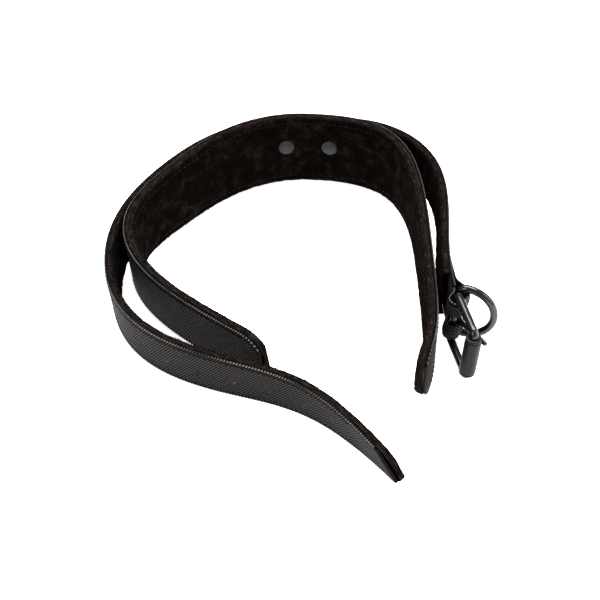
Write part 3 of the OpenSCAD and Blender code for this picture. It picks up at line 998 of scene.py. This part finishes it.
def on_face(s, outer):
    """Places rivet parts at distance s, with up away from the band's inner or the belt's outer face."""
    x, y, normal = (float(a) for a in BAND.at(np.array(float(s))))
    n = np.array([math.cos(math.radians(normal)), math.sin(math.radians(normal)), 0])
    tangent = np.array([-n[1], n[0], 0])
    base = np.array([x, y, BACK_Z])
    if outer:
        bx, by, _ = (float(a) for a in BELT.at(np.array(float(s))))
        reach = (bx - x) * n[0] + (by - y) * n[1]
        base, axis = base + n * (reach + 0.3), n
    else:
        base, axis = base - n * (BAND_T + 0.05), -n
    turn = np.stack([tangent, np.array([0, 0, 1.0]), axis], 1)
    return lambda points: np.asarray(points) @ turn.T + base


# Half section of a cap: distance from its axis, and height over the cloth
CAP = [(1.55, 0.0), (3.75, 0.0), (3.98, 0.1), (4.0, 0.28), (3.88, 0.45), (3.6, 0.58), (3.0, 0.86), (2.2, 1.2),
       (1.2, 1.46), (0.4, 1.56), (0.02, 1.57), (0.02, 0.7), (1.55, 0.65)]


def rivet_caps(name, outer):
    """The two domed caps of one face, as one mesh."""
    caps = [lathe(name, CAP, RIVET_METAL, on_face(s, outer)) for s in (-RIVET_S, RIVET_S)]
    bm = bmesh.new()
    for cap in caps:
        bm.from_mesh(cap.data)
    bm.to_mesh(caps[0].data)
    bm.free()
    bpy.data.objects.remove(caps[1])
    return caps[0]


# ---------------------------------------------------------------- the object

# Ends of the stretches of the belt between the band and each free arm
TAIL_BEND = (-125.0, -160.0)
ARM_BEND = (44.0, 66.0)


def belt_point(s):
    """The middle of the belt's thickness at distance s, in metres."""
    return tuple(float(a) for a in belt.put(np.array([s]), np.array([BELT_CORE]), np.array([0.0]))[0] * MM)


def bend_with(piece, bend):
    """Bakes a piece's placement into its mesh; the belt's middle at both ends of the bend is worked out and
    left unused.
    """
    belt_point(bend[0])
    belt_point(bend[1])
    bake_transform(piece)


web = woven("band_webbing_twill", band, -BAND_LEFT_L + 1.5, BAND_RIGHT_L - 1.5, 0.8, BAND_WEB_T,
            lean=BAND_RIB_LEAN)
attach(web, "band")
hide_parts("band_webbing")

velvet = lining("band_velvet", band, -BAND_LEFT_L + 0.5, BAND_RIGHT_L, BAND_RIM, 24, 1.0, 11, 12, 12)
nap(velvet, band, -BAND_LEFT_L + 8, BAND_RIGHT_L - 8, 4.6, -2.2, 2600, 61)
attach(velvet, "band")
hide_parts("band_lining")


def foam_core():
    """The band's padding, crowned towards the neck."""
    s = run_columns(-BAND_LEFT_L + 4.5, BAND_RIGHT_L - 4.5, 2.0, 8, 8)
    parts = np.linspace(1, -1, 13)
    half = (band.half(s) - 2.8)[None, :] * parts[:, None]
    crown = 0.35 * (1 - parts[:, None] ** 4) + 0 * half
    along = np.repeat(s[None, :], len(parts), 0)
    front = band.put(along, VELVET_TOP + 0 * half, half)
    return shell("band_foam", front, band.put(along, -4.1 - crown, half), FOAM)


foam = foam_core()
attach(foam, "band")
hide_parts("band_padding")

for side, which in ((1, "upper"), (-1, "lower")):
    row = stitches("band_stitches_" + which, band, -BAND_LEFT_L + 12, BAND_RIGHT_L - 12,
                   [(0.0, BAND_STITCH_IN, side), (*BAND_LINING_STITCH, side)], BAND_STITCH_PITCH)
    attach(row, "band")
    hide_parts("band_stitching_" + which)

web = woven("belt_webbing_twill_tail", belt, -TAIL_L + 3.5, 0, 0.4, BELT_WEB_T, 7.0)
punched(web, PUNCHES, WEB_PUNCH_R, TWILL_WALL)
bend_with(web, TAIL_BEND)
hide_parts("belt_webbing_back", "belt_webbing_tail")

velvet = lining("belt_velvet_tail", belt, -TAIL_L, 0, BELT_RIM, 15, 2.0, 23, 6, 0, 0.16)
punched(velvet, PUNCHES, VELVET_PUNCH_R, VELVET_WALL)
nap(velvet, belt, -TAIL_L + 4, 0, 4.2, -2.0, 2400, 62)
bend_with(velvet, TAIL_BEND)
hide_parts("belt_lining_back", "belt_lining_tail")

row = stitches("belt_stitches_tail", belt, -TAIL_L + 30, 0, BELT_ROWS, BELT_STITCH_PITCH)
bend_with(row, TAIL_BEND)
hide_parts("belt_stitching_back", "belt_stitching_tail")

web = woven("belt_webbing_twill_arm", belt, 0, ARM_L, 0.4, BELT_WEB_T)
bend_with(web, ARM_BEND)
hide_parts("belt_webbing_back", "belt_webbing_arm")

velvet = lining("belt_velvet_arm", belt, 0, ARM_L - 9, BELT_RIM, 15, 2.0, 31, 0, 0, 0.16)
nap(velvet, belt, 0, ARM_L - 10, 4.2, -2.0, 1200, 63)
bend_with(velvet, ARM_BEND)
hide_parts("belt_lining_back", "belt_lining_arm")

row = stitches("belt_stitches_arm", belt, 0, ARM_L - 25, BELT_ROWS, BELT_STITCH_PITCH)
bend_with(row, ARM_BEND)
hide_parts("belt_stitching_back", "belt_stitching_arm")

fold = make_fold()
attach(fold, "belt_arm")
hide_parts("belt_end_fold")
row = cross_stitches("loop_stitches")
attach(row, "belt_arm")
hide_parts("fold_stitching")

METAL_PIECES = (
    (make_d_ring(), "ring", "d_ring", "dark_metal"),
    (make_frame(), "frame", "buckle_frame", "dark_metal"),
    (make_roller(), "roller", "buckle_roller", "roller_metal"),
    (make_prong(), "prong", "buckle_prong", "dark_metal"),
    (rivet_caps("rivet_caps_inner", False), "band", "rivet_inner_caps", "rivet_metal"),
    (rivet_caps("rivet_caps_outer", True), "band", "rivet_outer_caps", "rivet_metal"),
)
for piece, body, node, slot in METAL_PIECES:
    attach(piece, body)
    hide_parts(node)

# The posts keep their CAD mesh, which the caps hide
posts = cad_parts["rivet_posts"]
posts.data.materials.clear()
posts.data.materials.append(RIVET_METAL)


# ---------------------------------------------------------------- studio

def make_floor():
    bm = bmesh.new()
    bmesh.ops.create_grid(bm, x_segments=1, y_segments=1, size=3.0)
    mesh = bpy.data.meshes.new("studio_floor")
    bm.to_mesh(mesh)
    bm.free()
    floor = bpy.data.objects.new("studio_floor", mesh)
    floor.location = (0, 0, cad_box[0][2] - 0.0002)
    m = Nodes("studio_white")
    m.set(Base_Color=(0.92, 0.92, 0.92, 1.0), Roughness=0.7, Emission_Color=(1.0, 1.0, 1.0, 1.0),
          Emission_Strength=0.8)
    mesh.materials.append(m.material)
    bpy.context.scene.collection.objects.link(floor)


def area_light(name, place, aim, width, height, power):
    data = bpy.data.lights.new(name, "AREA")
    data.shape, data.size, data.size_y, data.energy = "RECTANGLE", width, height, power
    light = bpy.data.objects.new(name, data)
    light.location = place
    light.rotation_euler = (Vector(aim) - Vector(place)).to_track_quat("-Z", "Y").to_euler()
    bpy.context.scene.collection.objects.link(light)


def make_studio():
    make_floor()
    aim = (0, -0.11, 0.02)
    area_light("overhead", (0.05, 0.12, 0.95), aim, 1.0, 0.6, 30)
    area_light("left_front", (-0.75, -0.85, 0.55), aim, 0.7, 0.7, 8)
    area_light("right_side", (0.95, -0.35, 0.5), aim, 0.5, 0.7, 7)
    world = bpy.data.worlds.new("studio")
    world.use_nodes = True
    world.node_tree.nodes["Background"].inputs[0].default_value = (1, 1, 1, 1)
    world.node_tree.nodes["Background"].inputs[1].default_value = 0.25
    bpy.context.scene.world = world
    bpy.context.scene.view_settings.view_transform = "Standard"


def make_camera():
    elevation, roll = math.radians(38), math.radians(-2.16)
    distance = 0.912
    n = math.radians(NORMAL0)
    target = Vector((EDGE_MID * math.cos(n), -100 + EDGE_MID * math.sin(n), 0)) * MM
    forward = Vector((0, math.cos(elevation), -math.sin(elevation)))
    up = Vector((0, math.sin(elevation), math.cos(elevation)))
    right = Vector((1, 0, 0))
    turned_right = right * math.cos(roll) + up * math.sin(roll)
    turned_up = up * math.cos(roll) - right * math.sin(roll)
    data = bpy.data.cameras.new("camera")
    data.lens, data.sensor_width = 114, 36
    data.shift_x, data.shift_y = -0.0237, -0.0108
    data.clip_start = 0.05
    camera = bpy.data.objects.new("camera", data)
    place = target - forward * distance
    camera.matrix_world = Matrix((
        (turned_right.x, turned_up.x, -forward.x, place.x),
        (turned_right.y, turned_up.y, -forward.y, place.y),
        (turned_right.z, turned_up.z, -forward.z, place.z),
        (0, 0, 0, 1)))
    bpy.context.scene.collection.objects.link(camera)
    bpy.context.scene.camera = camera


make_studio()
make_camera()
